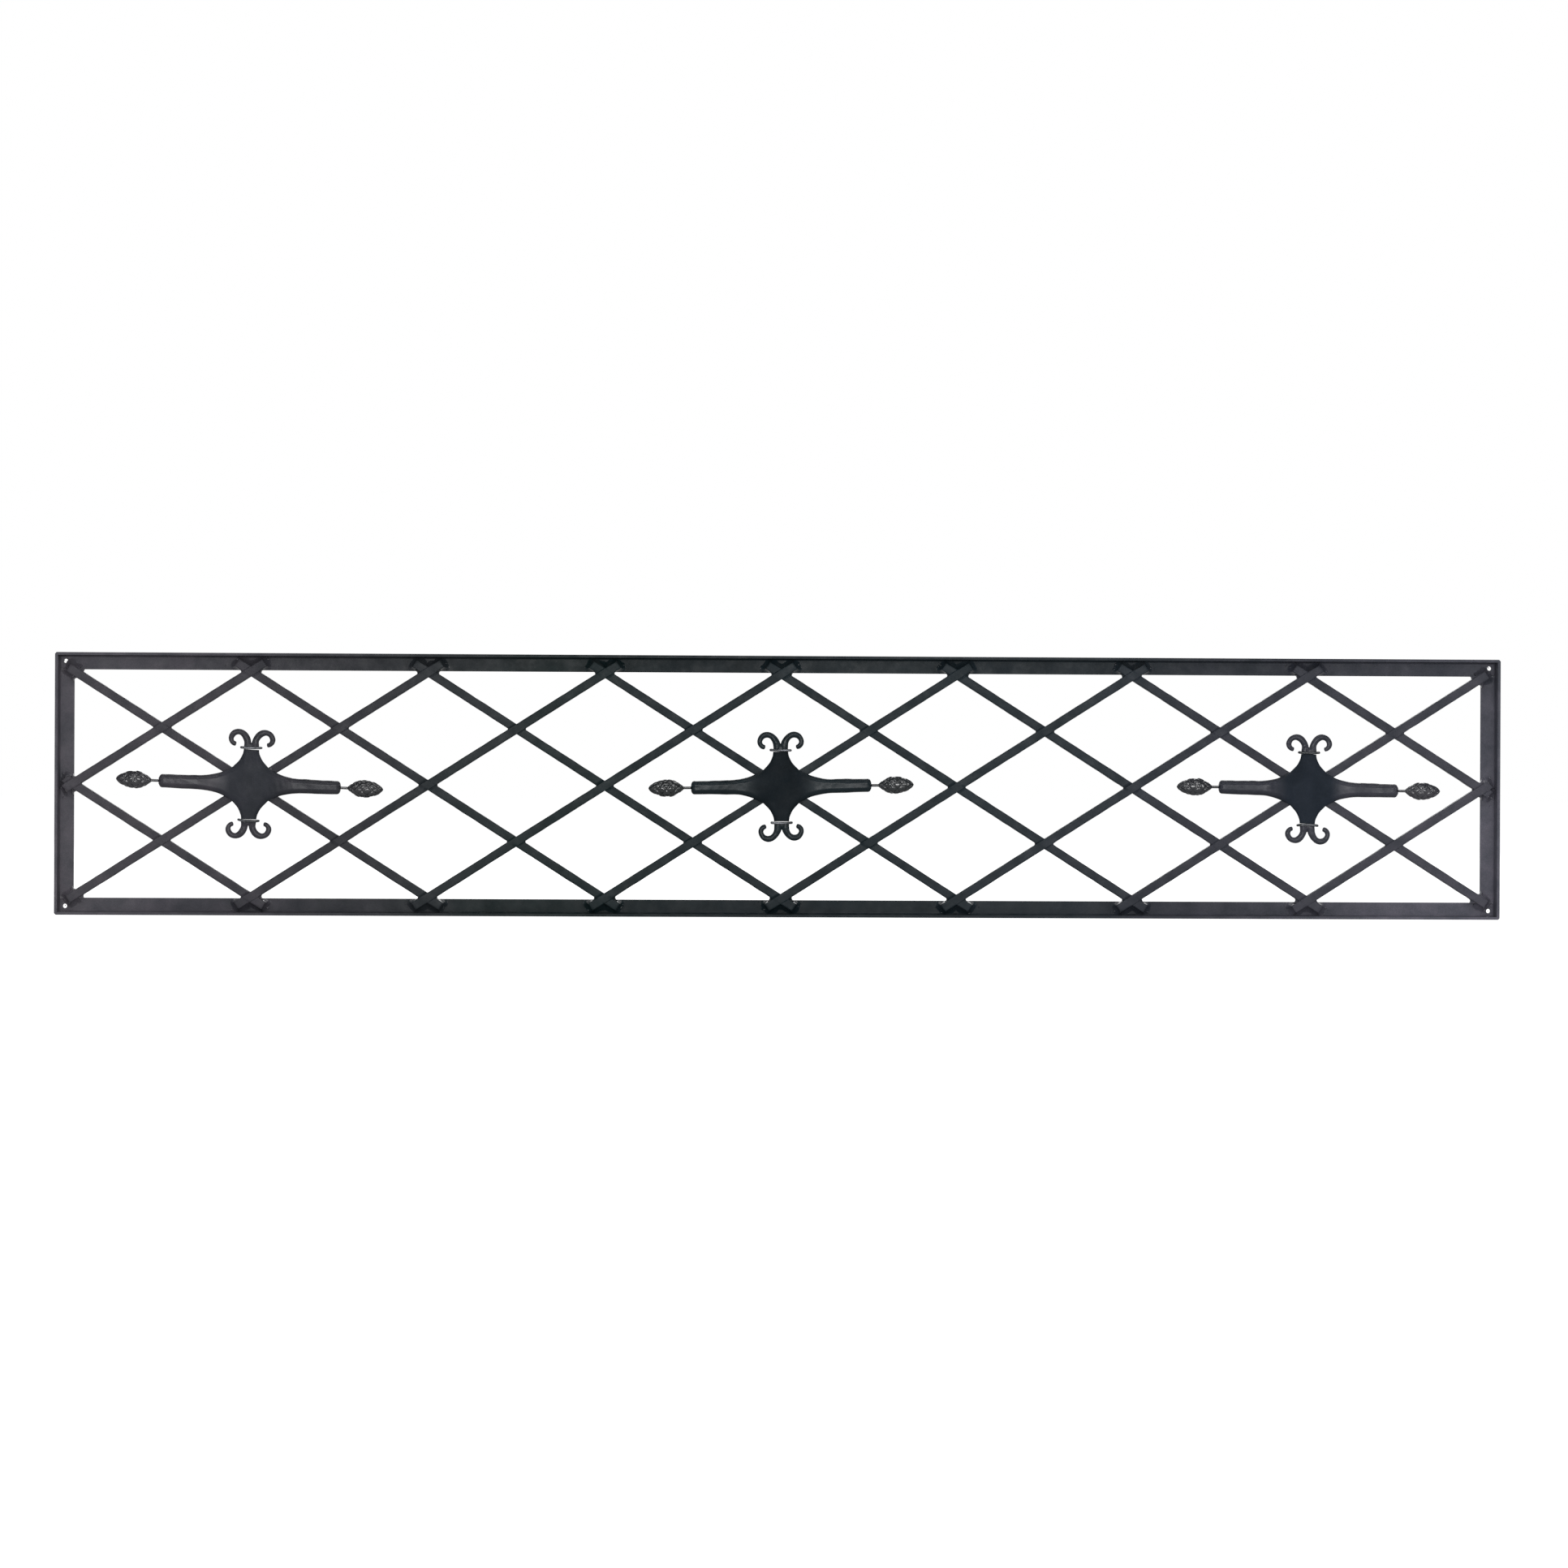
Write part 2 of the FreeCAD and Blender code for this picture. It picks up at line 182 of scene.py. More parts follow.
def waves(points, wavelength, seed):
    """A smooth random field over points, about -1 to 1, whose bumps are about a wavelength apart."""
    draw = np.random.default_rng(seed)
    directions = draw.normal(size=(WAVE_COUNT, 3))
    directions /= np.linalg.norm(directions, axis=1)[:, None]
    pace = 2 * math.pi / wavelength * draw.uniform(0.7, 1.35, WAVE_COUNT)
    phases = draw.uniform(0, 2 * math.pi, WAVE_COUNT)
    return np.sin(points @ (directions * pace[:, None]).T + phases).sum(axis=1) / math.sqrt(WAVE_COUNT)


def smoothstep(value, low, high):
    share = np.clip((np.asarray(value, float) - low) / (high - low), 0, 1)
    return share * share * (3 - 2 * share)


def spline(points, count):
    """Points along a Catmull-Rom curve through the given ones."""
    given = np.array(points, float)
    padded = np.vstack([2 * given[0] - given[1], given, 2 * given[-1] - given[-2]])
    spans = len(given) - 1
    at = np.linspace(0, spans, count)
    span = np.minimum(at.astype(int), spans - 1)
    t = (at - span)[:, None]
    a, b, c, d = (padded[span + k] for k in range(4))
    return 0.5 * (2 * b + (c - a) * t + (2 * a - 5 * b + 4 * c - d) * t**2 + (3 * b - a - 3 * c + d) * t**3)


def skin(rings, closed=False):
    """Vertices and quads of a tube through rings of points. A tube that isn't a loop gets an end fan."""
    count, around = rings.shape[:2]
    vertices = rings.reshape(-1, 3)
    faces = []
    for i in range(count if closed else count - 1):
        here, there = i * around, (i + 1) % count * around
        for j in range(around):
            k = (j + 1) % around
            faces.append((here + j, here + k, there + k, there + j))
    if not closed:
        vertices = np.vstack([vertices, rings[0].mean(axis=0), rings[-1].mean(axis=0)])
        start, end = count * around, (count - 1) * around
        for j in range(around):
            k = (j + 1) % around
            faces.append((start, k, j))
            faces.append((start + 1, end + j, end + k))
    return vertices, faces


def joined(parts):
    """One vertex array and face list from several."""
    vertices, faces, base = [], [], 0
    for some_vertices, some_faces in parts:
        vertices.append(some_vertices)
        faces += [tuple(base + index for index in face) for face in some_faces]
        base += len(some_vertices)
    return np.vstack(vertices), faces


def new_mesh(name, vertices, faces):
    mesh = bpy.data.meshes.new(name)
    mesh.from_pydata(vertices.tolist(), [], faces)
    work = bmesh.new()
    work.from_mesh(mesh)
    bmesh.ops.recalc_face_normals(work, faces=work.faces)
    work.to_mesh(mesh)
    work.free()
    mesh.shade_smooth()
    return mesh


def add_piece(name, mesh, material, slot, *replaced):
    piece = bpy.data.objects.new(name, mesh)
    bpy.context.scene.collection.objects.link(piece)
    mesh.materials.append(material)
    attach(piece, "root")
    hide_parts(*replaced)
    return piece


def vertex_array(mesh):
    points = np.zeros(len(mesh.vertices) * 3)
    mesh.vertices.foreach_get("co", points)
    return points.reshape(-1, 3)


# Materials ------------------------------------------------


class Paint:
    """Node shorthand for one procedural material, in object coordinates: metres in the frame."""

    def __init__(self, name):
        self.material = bpy.data.materials.new(name)
        self.material.use_nodes = True
        self.tree = self.material.node_tree
        self.tree.nodes.clear()
        self.output = self.tree.nodes.new("ShaderNodeOutputMaterial")
        self.shader = self.tree.nodes.new("ShaderNodeBsdfPrincipled")
        self.link(self.shader.outputs["BSDF"], self.output.inputs["Surface"])
        self.place = self.tree.nodes.new("ShaderNodeTexCoord").outputs["Object"]
        self.geometry = self.tree.nodes.new("ShaderNodeNewGeometry")

    def link(self, source, target):
        self.tree.links.new(source, target)

    def noise(self, scale, detail=4.0, roughness=0.55, distortion=0.0):
        node = self.tree.nodes.new("ShaderNodeTexNoise")
        node.inputs["Scale"].default_value = scale
        node.inputs["Detail"].default_value = detail
        node.inputs["Roughness"].default_value = roughness
        node.inputs["Distortion"].default_value = distortion
        self.link(self.place, node.inputs["Vector"])
        return node.outputs["Fac"]

    def cells(self, scale):
        node = self.tree.nodes.new("ShaderNodeTexVoronoi")
        node.feature = "SMOOTH_F1"
        node.inputs["Scale"].default_value = scale
        node.inputs["Smoothness"].default_value = 0.6
        self.link(self.place, node.inputs["Vector"])
        return node.outputs["Distance"]

    def ramp(self, source, stops):
        node = self.tree.nodes.new("ShaderNodeValToRGB")
        elements = node.color_ramp.elements
        while len(elements) < len(stops):
            elements.new(0.5)
        for element, (position, colour) in zip(elements, stops):
            element.position = position
            element.color = (*colour, 1.0)
        self.link(source, node.inputs["Fac"])
        return node.outputs["Color"]

    def span(self, source, low, high, to_low=0.0, to_high=1.0):
        node = self.tree.nodes.new("ShaderNodeMapRange")
        for name, value in (("From Min", low), ("From Max", high), ("To Min", to_low), ("To Max", to_high)):
            node.inputs[name].default_value = value
        self.link(source, node.inputs["Value"])
        return node.outputs["Result"]

    def attribute(self, name):
        node = self.tree.nodes.new("ShaderNodeAttribute")
        node.attribute_name = name
        return node.outputs["Fac"]

    def maths(self, operation, first, second):
        node = self.tree.nodes.new("ShaderNodeMath")
        node.operation = operation
        for socket, value in zip(node.inputs, (first, second)):
            if isinstance(value, (int, float)):
                socket.default_value = value
            else:
                self.link(value, socket)
        return node.outputs["Value"]

    def mix(self, factor, first, second, blend="MIX"):
        node = self.tree.nodes.new("ShaderNodeMix")
        node.data_type = "RGBA"
        node.blend_type = blend
        for name, value in (("Factor", factor), ("A", first), ("B", second)):
            socket = next(s for s in node.inputs if s.name == name and s.enabled)
            if isinstance(value, (int, float)):
                socket.default_value = value
            elif isinstance(value, tuple):
                socket.default_value = (*value, 1.0)
            else:
                self.link(value, socket)
        return next(s for s in node.outputs if s.enabled)

    def axis(self, source, name):
        node = self.tree.nodes.new("ShaderNodeSeparateXYZ")
        self.link(source, node.inputs["Vector"])
        return node.outputs[name]

    def bump(self, height, distance, strength, under=None):
        node = self.tree.nodes.new("ShaderNodeBump")
        node.inputs["Strength"].default_value = strength
        node.inputs["Distance"].default_value = distance
        self.link(height, node.inputs["Height"])
        if under is not None:
            self.link(under, node.inputs["Normal"])
        return node.outputs["Normal"]


PAINT_DEPTH = 0.65
DUST_COLOUR = (0.16, 0.155, 0.15)
# Bare iron showing on ridges and points, which also stands in as painted glints.
BARE_IRON_AND_GLINT_COLOUR = (0.13, 0.125, 0.13)
WIRE_PAINT_COLOUR = (0.014, 0.017, 0.020)
# Bare wire colour, also standing in as a painted highlight on the collar's front.
BARE_WIRE_AND_HIGHLIGHT_COLOUR = (0.16, 0.165, 0.18)
# At the right end the colour is paler towards the floor, by this share of the panel's tint: painted light,
# like the rest of the tint along the panel.
PAINTED_LIGHT_AT_FOOT = 0.08
# Along the panel the colour goes from a purplish grey at the ends to a blue-green black in the middle. The
# tints follow the photograph, so they are partly the black paint and partly painted light: the light and
# reflections falling along the panel, painted into the colour.
TINT_AND_LIGHT_ALONG = [
    (0.00, (0.073, 0.070, 0.080)),
    (0.09, (0.056, 0.054, 0.064)),
    (0.21, (0.033, 0.035, 0.041)),
    (0.33, (0.010, 0.020, 0.021)),
    (0.45, (0.010, 0.018, 0.022)),
    (0.58, (0.013, 0.022, 0.027)),
    (0.69, (0.020, 0.029, 0.036)),
    (0.81, (0.038, 0.041, 0.053)),
    (0.92, (0.058, 0.060, 0.074)),
    (1.00, (0.084, 0.083, 0.102)),
]


def iron_paint(name, grain, dents, worn_and_glint=0.0, roughness=0.42, shade=1.0, ends=1.0, shine=0.1, deep=None):
    """Satin black paint over iron: a tint along the panel that is partly painted light, mottling, grain,
    dust on top, and bare edges that also stand in as painted glints.

    Shade is how dark this copy of the paint is, and ends is how much paler it is at the panel's two ends
    than at the middle; both are set to the light falling on each copy, so they are painted light and shade.
    A mesh's "deep" values say where the paint takes on the deep tint, a painted shade, and is duller."""
    paint = Paint(name)
    # The tint along the panel is partly the paint and partly painted light, paler towards the floor at the
    # right end.
    along = paint.span(paint.axis(paint.place, "X"), cad_low.x, cad_high.x)
    lowness = paint.span(paint.axis(paint.place, "Z"), cad_low.z, cad_high.z, PAINTED_LIGHT_AT_FOOT, -PAINTED_LIGHT_AT_FOOT)
    along = paint.maths("ADD", along, paint.maths("MULTIPLY", lowness, paint.span(along, 0.55, 1.0)))
    drift = paint.maths("MULTIPLY", paint.maths("SUBTRACT", paint.noise(7.0, 2.0), 0.5), 0.16)
    tint = paint.ramp(paint.maths("ADD", along, drift), TINT_AND_LIGHT_ALONG)
    mottle_tints = [(0.30, (0.72, 0.76, 0.78)), (0.72, (1.3, 1.24, 1.26))]
    mottle = paint.ramp(paint.noise(38.0, 5.0, 0.6, 0.4), mottle_tints)
    colour = paint.mix(1.0, tint, mottle, "MULTIPLY")
    # Painted light and shade: the shade factor sets how dark this copy is, and the ends factor makes it
    # paler towards the panel's ends.
    from_middle = paint.maths("ABSOLUTE", paint.maths("SUBTRACT", along, 0.5), 0.0)
    level = paint.span(from_middle, 0.2, 0.5, shade * PAINT_DEPTH, shade * PAINT_DEPTH * ends)
    colour = paint.mix(1.0, colour, level, "MULTIPLY")
    if deep:
        # Painted shade: where the mesh's deep values say, the colour is darkened by the deep tint.
        colour = paint.mix(paint.attribute("deep"), colour, paint.mix(1.0, colour, deep, "MULTIPLY"))
    speck = paint.ramp(paint.noise(1400.0, 2.0), [(0.35, (0.80, 0.80, 0.80)), (0.70, (1.25, 1.25, 1.25))])
    colour = paint.mix(0.7, colour, speck, "MULTIPLY")
    upward = paint.span(paint.axis(paint.geometry.outputs["Normal"], "Z"), 0.35, 1.0)
    dust = paint.maths("MULTIPLY", upward, paint.span(paint.noise(90.0, 5.0, 0.65), 0.42, 0.72, 0.0, 0.2))
    colour = paint.mix(dust, colour, DUST_COLOUR)
    # Bare edges that are partly wear and partly painted glints: a lighter colour on ridges and points.
    if worn_and_glint:
        ridge = paint.span(paint.geometry.outputs["Pointiness"], 0.515, 0.60)
        patches = paint.span(paint.noise(260.0, 4.0, 0.7), 0.45, 0.62, 0.0, worn_and_glint)
        chips_and_glints = paint.maths("MULTIPLY", ridge, patches)
        colour = paint.mix(chips_and_glints, colour, BARE_IRON_AND_GLINT_COLOUR)
    paint.link(colour, paint.shader.inputs["Base Color"])
    satin = paint.span(paint.noise(55.0, 6.0, 0.65), 0.30, 0.72, roughness - 0.10, roughness + 0.14)
    if deep:
        satin = paint.maths("ADD", satin, paint.maths("MULTIPLY", paint.attribute("deep"), 0.4))
    paint.link(satin, paint.shader.inputs["Roughness"])
    paint.shader.inputs["Specular IOR Level"].default_value = shine
    relief = paint.bump(paint.cells(95.0), dents * MM, 0.55)
    relief = paint.bump(paint.noise(420.0, 6.0, 0.62), grain * MM, 0.55, relief)
    relief = paint.bump(paint.noise(2600.0, 3.0), 0.02 * MM, 0.5, relief)
    paint.link(relief, paint.shader.inputs["Normal"])
    return paint.material


def wire_paint(name):
    """Thin paint wearing through to grey wire along the front of each collar; the grey, metallic front also
    stands in as a painted highlight.
    """
    paint = Paint(name)
    # Painted highlight, partly wear: grey metallic wire on the front-facing side of the collar.
    facing = paint.span(paint.axis(paint.geometry.outputs["Normal"], "Y"), -0.35, -0.95)
    rubbed_and_highlight = paint.maths("MULTIPLY", facing, paint.span(paint.noise(45.0, 3.0, 0.6), 0.48, 0.62))
    colour = paint.mix(rubbed_and_highlight, WIRE_PAINT_COLOUR, BARE_WIRE_AND_HIGHLIGHT_COLOUR)
    paint.link(colour, paint.shader.inputs["Base Color"])
    paint.link(paint.span(rubbed_and_highlight, 0.0, 1.0, 0.0, 0.85), paint.shader.inputs["Metallic"])
    paint.link(paint.span(paint.noise(300.0, 4.0), 0.3, 0.7, 0.24, 0.42), paint.shader.inputs["Roughness"])
    paint.link(paint.bump(paint.noise(900.0, 4.0), 0.05 * MM, 0.6), paint.shader.inputs["Normal"])
    return paint.material


# Frame: the CAD nodes -------------------------------------


def soften_frame(material):
    for name in ("top_rail", "bottom_rail", "left_stile", "right_stile"):
        node = nodes[name]
        node.data.materials.clear()
        node.data.materials.append(material)
        weld = node.modifiers.new("weld", "WELD")
        weld.merge_threshold = 0.01 * MM
        bevel = node.modifiers.new("bevel", "BEVEL")
        bevel.width = FRAME_BEVEL
        bevel.segments = 2
        bevel.limit_method = "ANGLE"
        bevel.angle_limit = math.radians(28)
        bevel.harden_normals = True


# Lattice --------------------------------------------------


def flat(point):
    return np.array([point[0], point[2]])


def bar_ends(name):
    """The centres of a bar's left and right ends in the XZ plane, from the corners of its CAD node."""
    points = vertex_array(nodes[name].data)
    low_left = name.startswith("rising")
    left_z = points[:, 2].argmin() if low_left else points[:, 2].argmax()
    right_z = points[:, 2].argmax() if low_left else points[:, 2].argmin()
    left = (flat(points[points[:, 0].argmin()]) + flat(points[left_z])) / 2
    right = (flat(points[points[:, 0].argmax()]) + flat(points[right_z])) / 2
    return left, right


def cross(first, second):
    return first[0] * second[1] - first[1] * second[0]


def quarter_turn(direction):
    return np.array([-direction[1], direction[0]])


def unit_and_length(ends):
    run = ends[1] - ends[0]
    length = float(np.linalg.norm(run))
    return run / length, length


def crossings(ends, others, half):
    """The bars that cross this one: the distance along it, how far a cut along them leans, the sine."""
    along, length = unit_and_length(ends)
    across = quarter_turn(along)
    found, crossed = [], []
    for other in others:
        direction, other_length = unit_and_length(other)
        gap = other[0] - ends[0]
        here = cross(gap, direction) / cross(along, direction)
        there = cross(gap, along) / cross(along, direction)
        if -half < here < length + half and -half < there < other_length + half:
            sine = float(direction @ across)
            found.append((here, float(direction @ along) / sine, abs(sine)))
            crossed.append(other)
    return found, crossed


def bar_section(half):
    """A rounded square's outline, as offsets across the bar and in depth."""
    outline = []
    inner = half - BAR_CORNER_RADIUS
    for quarter in range(4):
        turn = quarter * math.pi / 2
        within = turn + math.pi / 4
        signs = [math.copysign(1, math.cos(within)), math.copysign(1, math.sin(within))]
        centre = inner * np.array(signs)
        for step in range(5):
            angle = turn + step * math.pi / 8
            outline.append(centre + BAR_CORNER_RADIUS * np.array([math.cos(angle), math.sin(angle)]))
        start = outline[-1]
        step_along = np.array([-math.sin(turn + math.pi / 2), math.cos(turn + math.pi / 2)]) * 2 * inner
        outline += [start + step_along * share for share in (0.25, 0.5, 0.75)]
    return np.array(outline)


def ring_stations(length, cuts, half):
    """Distances along a bar for its rings. A notched ring lies just inside each wall of a notch."""
    walls = []
    for here, _, sine in cuts:
        reach = (half + NOTCH_CLEARANCE) / sine
        walls += [(here - reach, False), (here - reach + NOTCH_WALL, True)]
        walls += [(here + reach - NOTCH_WALL, True), (here + reach, False)]
    walls = [(place, inside) for place, inside in walls if 0 < place < length]
    rounding = [(share * BAR_END_ROUNDING, False) for share in (0, 0.3, 1)]
    rounding += [(length - place, False) for place, _ in rounding]
    fixed = walls + rounding
    rings = list(fixed)
    for place in np.linspace(0, length, int(length / BAR_RING_SPACING)):
        if min(abs(place - other) for other, _ in fixed) > 0.25 * BAR_RING_SPACING:
            inside = any(abs(place - here) < (half + NOTCH_CLEARANCE) / sine for here, _, sine in cuts)
            rings.append((place, inside))
    return sorted(rings)


def web(corner, first, second, radius, y_low, y_high):
    """A hollow-faced fillet of weld and paint in the corner between two edges of the XZ plane."""
    half_angle = math.acos(float(first @ second)) / 2
    bisector = (first + second) / np.linalg.norm(first + second)
    square = quarter_turn(bisector)
    square *= math.copysign(1, first @ square)
    sweep = math.pi / 2 - half_angle
    rings = []
    for level in np.linspace(-1, 1, 9):
        here = radius * (0.3 + 0.7 * math.sqrt(1 - abs(level) ** 2.5))
        centre = corner + bisector * here / math.sin(half_angle)
        points = [corner - bisector * 1.2 * MM]
        for edge, turn in ((first, 1), (second, -1)):
            into_metal = turn * square * WEB_BITE
            points.append(corner + edge * here / math.tan(half_angle) + into_metal)
        arc = [
            centre + here * (-math.cos(turn) * bisector + math.sin(turn) * square)
            for turn in np.linspace(sweep, -sweep, 9)
        ]
        loop = np.array([points[0], points[1], *arc, points[2]])
        y = (y_low + y_high) / 2 + level * (y_high - y_low) / 2
        rings.append(np.column_stack([loop[:, 0], np.full(len(loop), y), loop[:, 1]]))
    return skin(np.array(rings))


def crossing_webs(ends, cuts, others, half, middle_y, draw):
    """Webs in the two narrow corners of each of a bar's crossings."""
    along, _ = unit_and_length(ends)
    webs = []
    for (here, _, _), other in zip(cuts, others):
        direction, _ = unit_and_length(other)
        narrow = along + direction
        narrow /= np.linalg.norm(narrow)
        reach = half / math.sqrt((1 - float(along @ direction)) / 2)
        centre = ends[0] + along * here
        for side in (-1, 1):
            corner = centre + side * narrow * reach
            radius = draw.uniform(*CROSSING_WEB_RADII) * MM
            y_reach = half - 0.7 * MM
            y_range = (middle_y - y_reach, middle_y + y_reach)
            webs.append(web(corner, side * along, side * direction, radius, *y_range))
    return webs


def forge_bar(name, ends, others, seed, material):
    """A square bar with softened, slightly uneven faces, notched half through where others cross it."""
    low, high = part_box(name)
    half = (high.y - low.y) / 2
    middle_y = (high.y + low.y) / 2
    along, length = unit_and_length(ends)
    across = quarter_turn(along)
    cuts, crossed = crossings(ends, others, half)
    notch_side = 1.0 if name.startswith("rising") else -1.0
    section = bar_section(half)
    squared = section * half / np.abs(section).max(axis=1)[:, None]
    rings = []
    for place, inside in ring_stations(length, cuts, half):
        skew = 0.0
        for here, lean, sine in cuts:
            reach = half / sine
            skew += lean * float(1 - smoothstep(abs(place - here), reach + 1.5 * MM, reach + SKEW_RUN))
        from_end = min(place, length - place)
        short_of_full = 1 - min(1.0, from_end / BAR_END_ROUNDING)
        inset = BAR_END_ROUNDING * (1 - math.sqrt(max(0.0, 1 - short_of_full**2)))
        joined_here = 0.0
        for here, _, sine in cuts:
            reach = half / sine
            near = float(1 - smoothstep(abs(place - here), reach, reach + 2 * MM))
            joined_here = max(joined_here, near)
        offsets = section + (squared - section) * joined_here
        offsets = offsets * (1 - inset / half) * np.array([1 + PAINT_BUILD / half, 1.0])
        depth = offsets[:, 1].copy()
        if inside:
            cut_away = depth * notch_side > 0
            depth[cut_away] *= NOTCH_FLATNESS
        distance = place + skew * offsets[:, 0]
        flat_points = ends[0] + np.outer(distance, along) + np.outer(offsets[:, 0], across)
        rings.append(np.column_stack([flat_points[:, 0], middle_y + depth, flat_points[:, 1]]))
    rings = np.array(rings)
    centres = rings.mean(axis=1, keepdims=True)
    outward = rings - centres
    outward /= np.maximum(np.linalg.norm(outward, axis=2, keepdims=True), 1e-9)
    points = rings.reshape(-1, 3)
    uneven = 0.10 * waves(points, 22 * MM, seed) + 0.06 * waves(points, 7 * MM, seed + 1)
    rings = rings + outward * (uneven * MM - 0.08 * MM).reshape(rings.shape[0], rings.shape[1], 1)
    shapes = [skin(rings)]
    if name.startswith("rising"):
        shapes += crossing_webs(ends, cuts, crossed, half, middle_y, np.random.default_rng(seed))
    add_piece("forged_" + name, new_mesh(name, *joined(shapes)), material, "lattice_iron", name)


def forge_lattice(material):
    names = sorted(name for name in nodes if "_bar_" in name)
    ends = {name: bar_ends(name) for name in names}
    for index, name in enumerate(names):
        family = name.split("_")[0]
        others = [ends[other] for other in names if not other.startswith(family)]
        forge_bar(name, ends[name], others, BAR_SEED + 10 * index, material)
    return ends


# Rosettes -------------------------------------------------


class Place:
    """Where a rosette stands: its middle, its tilt and the plane of its back, from its CAD nodes."""

    def __init__(self, side):
        centres = [sum(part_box(side + bud), Vector()) / 2 for bud in ("_left_bud", "_right_bud")]
        run = centres[1] - centres[0]
        middle = (centres[0] + centres[1]) / 2
        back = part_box(side + "_star_plate")[1].y
        self.middle = np.array([middle.x, back, middle.z])
        self.right = np.array([run.x, 0.0, run.z]) / math.hypot(run.x, run.z)
        self.up = np.array([-self.right[2], 0.0, self.right[0]])

    def world(self, points):
        """Millimetres right, back and up from the rosette's middle, as places in the frame."""
        basis = np.array([self.right, AXIS_Y, self.up])
        return self.middle + (points * MM) @ basis


def half_heights(x):
    """The star's half height at distances from its middle, with rounded arm ends."""
    line = spline(STAR_OUTLINE, OUTLINE_POINTS)
    order = line[:, 0].argsort()
    heights = np.interp(np.abs(x), line[order, 0], line[order, 1])
    into_end = np.clip((np.abs(x) - ARM_REACH) / ARM_END_ROUNDING + 1, 0, 0.9999)
    return heights * (1 - into_end**ARM_END_SQUARENESS) ** (1 / ARM_END_SQUARENESS)


def star_edge():
    """Points along the outline's upper right quarter, without the end of the neck."""
    x = np.concatenate([np.linspace(8.6, CORE_REACH, 260), np.linspace(CORE_REACH, ARM_REACH, 60)])
    line = np.column_stack([x, half_heights(x)])
    neck = spline(STAR_OUTLINE, OUTLINE_POINTS)
    return np.vstack([line, neck[neck[:, 0] < 9.3]])


def forge_star(side, place, material):
    seed = SEEDS[side]
    dense = np.linspace(0, 1, 88)
    arm_columns = np.linspace(61.2, ARM_REACH - ARM_END_ROUNDING, 28)
    right = np.concatenate([CORE_REACH * dense**1.15, arm_columns])
    tip = ARM_REACH - ARM_END_ROUNDING * (1 - np.sin(np.linspace(0.12, math.pi / 2, 12)))
    right = np.unique(np.concatenate([right, [8.59, 8.7], tip]))
    columns = np.concatenate([-right[:0:-1], right])
    rows = np.sin(np.linspace(-math.pi / 2, math.pi / 2, 61))
    x = np.repeat(columns, len(rows))
    z = np.outer(half_heights(columns), rows).ravel()
    edge = star_edge()
    to_edge = np.sqrt(
        ((np.abs(x)[:, None] - edge[:, 0]) ** 2 + (np.abs(z)[:, None] - edge[:, 1]) ** 2).min(axis=1)
    )
    radius = np.hypot(x, z * 1.15)
    arm = smoothstep(np.abs(x), 14, 50)
    dome = STAR_DOME * np.exp(-((radius / STAR_DOME_REACH) ** 2))
    full = STAR_DEPTH + dome * (1 - arm) + ARM_EXTRA_DEPTH * arm
    rounding = STAR_EDGE_ROUNDING - 2.4 * arm - 3.5 * smoothstep(np.abs(z), 18, 36)
    wall = STAR_EDGE_WALL + 0.4 * arm
    round_off = np.sqrt(1 - (1 - np.clip(to_edge / rounding, 0, 1)) ** 2)
    depth = wall + (full - wall) * round_off
    flat_points = np.column_stack([x, np.zeros_like(x), z])
    hammered = 0.13 * waves(flat_points, 19, seed) + 0.06 * waves(flat_points, 8, seed + 1)
    rough = smoothstep(z, 14, 30) * 0.16 * waves(flat_points, 4.2, seed + 2)
    inside = smoothstep(to_edge, 0.2, 3.0)
    depth = np.minimum(depth + (hammered + rough - 0.25) * inside, STAR_DEPTH_LIMIT)
    wander = 0.22 * waves(flat_points, 26, seed + 3)
    z = z + wander * smoothstep(np.abs(z), 2, 6)
    front = np.column_stack([x, -depth, z])
    back = np.column_stack([x, np.zeros_like(x), z])
    count, tall = len(columns), len(rows)
    faces = []
    total = count * tall

    def corner(i, j, behind):
        return i * tall + j + (total if behind else 0)

    for i in range(count - 1):
        for j in range(tall - 1):
            faces.append(tuple(corner(i + a, j + b, False) for a, b in ((0, 0), (0, 1), (1, 1), (1, 0))))
            faces.append(tuple(corner(i + a, j + b, True) for a, b in ((0, 0), (1, 0), (1, 1), (0, 1))))
        for j in (0, tall - 1):
            edge_front = (corner(i, j, False), corner(i + 1, j, False))
            faces.append((*edge_front, corner(i + 1, j, True), corner(i, j, True)))
    for i in (0, count - 1):
        for j in range(tall - 1):
            end_front = (corner(i, j, False), corner(i, j + 1, False))
            faces.append((*end_front, corner(i, j + 1, True), corner(i, j, True)))
    mesh = new_mesh(side + "_star", place.world(np.vstack([front, back])), faces)
    # Painted shade on the star's middle, fading out along the arms.
    middle = STAR_PAINTED_SHADE[side] * (1 - smoothstep(np.abs(x), 20, 46))
    mesh.attributes.new("deep", "FLOAT", "POINT").data.foreach_set("value", np.tile(middle, 2))
    add_piece(side + "_forged_star", mesh, material, "rosette_iron", side + "_star_plate")


def rings_round(line, radii, sideways, upright, around, flatten=1.0):
    """Rings of a bar or wire along a line, its section flattened along the upright axis."""
    angles = np.linspace(0, 2 * math.pi, around, endpoint=False)
    return line[:, None, :] + radii[:, None, None] * (
        np.cos(angles)[None, :, None] * sideways[:, None, :]
        + flatten * np.sin(angles)[None, :, None] * upright[None, None, :]
    )


